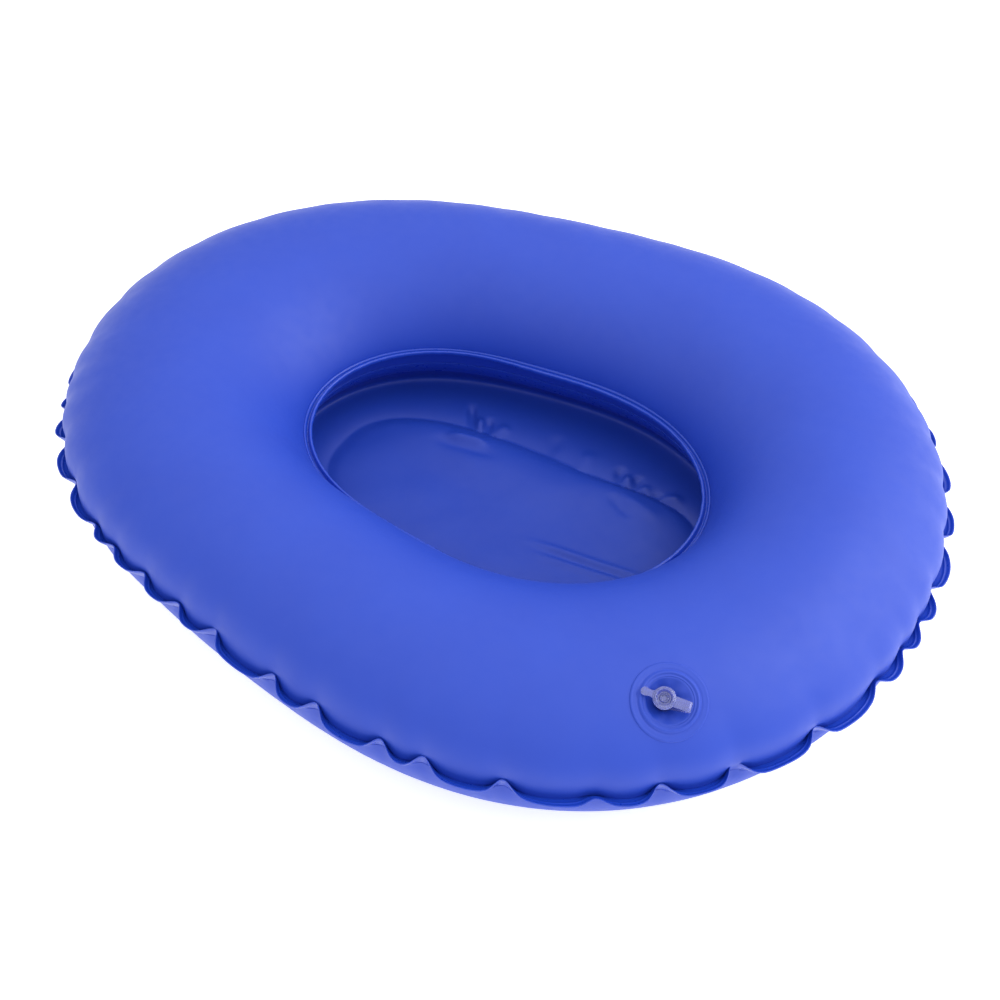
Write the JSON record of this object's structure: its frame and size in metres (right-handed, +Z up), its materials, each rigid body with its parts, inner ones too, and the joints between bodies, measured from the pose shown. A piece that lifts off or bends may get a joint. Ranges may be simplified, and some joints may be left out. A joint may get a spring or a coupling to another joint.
{
  "type": "bedpan",
  "caption": "Inflatable bedpan: blue PVC air ring, egg-shaped in plan, with welded outer flange, slack basin below the opening and a soft plug valve.",
  "frame": {"origin": "on the floor, under the middle of the ring's outline", "axes": "+X along the length towards the broad end, where the valve is; +Z up; +Y across the width"},
  "size_m": [0.486, 0.3936, 0.085],
  "materials": {
    "pvc_film": "satin calendered PVC film",
    "weld_seam": "heat-welded PVC film, slightly glossy",
    "clear_vinyl": "soft milky clear vinyl"
  },
  "bodies": {
    "root": {"upper_ring_sheet": "pvc_film", "lower_ring_sheet": "pvc_film", "outer_weld_flange": "weld_seam", "inner_weld_rim": "weld_seam", "basin_sheet": "pvc_film", "basin_weld_band": "weld_seam", "valve_patch": "pvc_film", "valve_dish": "pvc_film"},
    "stem": {"valve_stem": "clear_vinyl", "tether_post": "clear_vinyl"},
    "tether": {"plug_tether": "clear_vinyl"},
    "plug": {"valve_plug": "clear_vinyl", "plug_nub": "clear_vinyl"},
    "flap": {"check_flap": "clear_vinyl"}
  },
  "joints": [
    {"name": "valve_pull_out", "type": "slide", "parent": "root", "child": "stem", "axis": [0.1305, -0.3762, 0.9173], "range_m": [0, 0.008], "deforming": ["valve_dish"]},
    {"name": "tether_swing", "type": "hinge", "parent": "stem", "child": "tether", "pos_m": [0.17681, -0.12375, 0.08034], "axis": [-0.1191, 0.9126, 0.3912], "range_deg": [0, 150]},
    {"name": "plug_pull", "type": "slide", "parent": "tether", "child": "plug", "axis": [0.1305, -0.3762, 0.9173], "range_m": [0, 0.006]},
    {"name": "check_flap_open", "type": "hinge", "parent": "stem", "child": "flap", "pos_m": [0.16708, -0.11999, 0.06861], "axis": [0.1191, -0.9126, -0.3912], "range_deg": [0, 50], "stiffness_Nm_per_rad": 0.00002, "springref_deg": -17.19}
  ]
}
